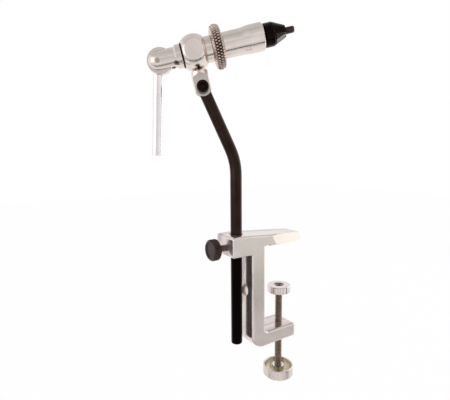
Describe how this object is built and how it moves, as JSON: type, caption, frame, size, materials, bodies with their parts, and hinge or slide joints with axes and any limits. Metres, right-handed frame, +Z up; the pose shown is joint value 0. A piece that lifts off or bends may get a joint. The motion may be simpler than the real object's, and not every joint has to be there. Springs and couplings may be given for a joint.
{
  "type": "fly tying vise",
  "caption": "Table-clamp fly tying vise: a bent stem carries a tilting, turning head with a cam lever, an adjusting ring and a small collet that grips a hook.",
  "frame": {"origin": "On the flat underside of the clamp's upper jaw, where the clamp screw's axis meets it; that face rests on the table top.", "axes": "+Z up, along the clamp screw and the lower stem. +X along the clamp's jaw, away from the spine and over the table. +Y completes a right-handed frame."},
  "size_m": [0.1242, 0.0624, 0.3067],
  "materials": {
    "clamp_aluminium": "satin, polished edges",
    "head_aluminium": "fine turned and polished",
    "bright_steel": "ground and polished",
    "plain_steel": "turned",
    "knurled_steel": "diamond knurled",
    "black_stem_finish": "gloss black",
    "black_oxide_steel": "black oxide",
    "black_anodised": "black anodised",
    "black_washer_plastic": "matt",
    "bronze": "turned",
    "jaw_steel": "hardened and dark",
    "spring_steel": "drawn wire"
  },
  "bodies": {
    "clamp": {"clamp_frame": "clamp_aluminium", "spine_screw": "bright_steel"},
    "pad": {"clamp_pad": "bright_steel"},
    "clamp_screw_group": {"clamp_screw": "plain_steel", "hand_wheel": "head_aluminium", "pad_screw": "black_oxide_steel"},
    "lock_tip_group": {"lock_tip": "bronze"},
    "lock_screw_group": {"lock_screw": "plain_steel", "lock_knob": "black_anodised"},
    "liner": {"stem_liner": "bronze"},
    "stem_group": {"stem": "black_stem_finish"},
    "head_mount": {"head_post": "head_aluminium", "tilt_screw": "black_oxide_steel", "collar": "head_aluminium", "rear_bush": "bronze", "front_bush": "bronze", "drag_screw": "black_oxide_steel"},
    "turning_head": {"spindle": "bright_steel", "guide_key": "plain_steel", "ring_clip": "spring_steel", "clevis": "head_aluminium", "clevis_screw": "bright_steel", "cam_pin": "plain_steel", "drag_ring": "black_washer_plastic", "spring_plug": "bronze"},
    "ring": {"adjust_ring": "knurled_steel"},
    "nose": {"nose_tube": "head_aluminium", "nose_cap": "black_oxide_steel"},
    "cam_lever": {"cam_disc": "bright_steel", "lever_rod": "bright_steel"},
    "rod_group": {"push_rod": "plain_steel", "jaw_carrier": "plain_steel", "jaw_pins": "plain_steel", "return_spring": "spring_steel"},
    "right_jaw_group": {"right_jaw": "jaw_steel"},
    "left_jaw_group": {"left_jaw": "jaw_steel", "spreader_spring": "spring_steel"}
  },
  "joints": [
    {"name": "clamp_screw_turn", "type": "hinge", "parent": "pad", "child": "clamp_screw_group", "pos_m": [0, 0, -0.0476], "axis": [0, 0, 1], "range_deg": [-7600, 8450]},
    {"name": "pad_travel", "type": "slide", "parent": "clamp", "child": "pad", "axis": [0, 0, 1], "range_m": [-0.0268, 0.0298]},
    {"name": "lock_screw_turn", "type": "hinge", "parent": "lock_tip_group", "child": "lock_screw_group", "pos_m": [-0.056, 0, 0.0014], "axis": [1, 0, 0], "range_deg": [-900, 0]},
    {"name": "lock_tip_travel", "type": "slide", "parent": "clamp", "child": "lock_tip_group", "axis": [1, 0, 0], "range_m": [-0.00198, 0]},
    {"name": "stem_swivel", "type": "hinge", "parent": "clamp", "child": "liner", "pos_m": [-0.0467, 0, 0.0033], "axis": [0, 0, 1], "continuous": true},
    {"name": "stem_height", "type": "slide", "parent": "liner", "child": "stem_group", "axis": [0, 0, 1], "range_m": [-0.045, 0.072]},
    {"name": "head_tilt", "type": "hinge", "parent": "stem_group", "child": "head_mount", "pos_m": [-0.06889, 0.01281, 0.12905], "axis": [0.5, 0.866, 0], "range_deg": [-25, 35]},
    {"name": "head_spin", "type": "hinge", "parent": "head_mount", "child": "turning_head", "pos_m": [-0.07423, 0.01589, 0.15534], "axis": [0.8431, -0.4868, 0.2284], "continuous": true},
    {"name": "ring_turn", "type": "hinge", "parent": "turning_head", "child": "ring", "pos_m": [-0.05878, 0.00698, 0.15952], "axis": [0.8431, -0.4868, 0.2284], "range_deg": [-540, 180]},
    {"name": "nose_travel", "type": "slide", "parent": "turning_head", "child": "nose", "axis": [0.8431, -0.4868, 0.2284], "range_m": [-0.00039, 0.00119]},
    {"name": "cam_lever_turn", "type": "hinge", "parent": "turning_head", "child": "cam_lever", "pos_m": [-0.0983, 0.02979, 0.148], "axis": [0.5, 0.866, 0], "range_deg": [0, 110]},
    {"name": "push_rod_travel", "type": "slide", "parent": "turning_head", "child": "rod_group", "axis": [0.8431, -0.4868, 0.2284], "range_m": [-0.00172, 0]},
    {"name": "right_jaw_open", "type": "hinge", "parent": "rod_group", "child": "right_jaw_group", "pos_m": [-0.02847, -0.01364, 0.1681], "axis": [-0.1978, 0.1142, 0.9736], "range_deg": [-1.42, 0]},
    {"name": "left_jaw_open", "type": "hinge", "parent": "rod_group", "child": "left_jaw_group", "pos_m": [-0.02577, -0.00897, 0.1681], "axis": [-0.1978, 0.1142, 0.9736], "range_deg": [0, 1.42]}
  ],
  "couplings": [
    {"joint": "clamp_screw_turn", "follows": "pad_travel", "rad_per_m": 4947.4},
    {"joint": "lock_screw_turn", "follows": "lock_tip_travel", "rad_per_m": 7915.8},
    {"joint": "ring_turn", "follows": "nose_travel", "rad_per_m": -7854},
    {"joint": "push_rod_travel", "follows": "cam_lever_turn", "m_per_rad": -0.00089069},
    {"joint": "right_jaw_open", "follows": "cam_lever_turn", "ratio": -0.012727},
    {"joint": "left_jaw_open", "follows": "cam_lever_turn", "ratio": 0.012727}
  ]
}
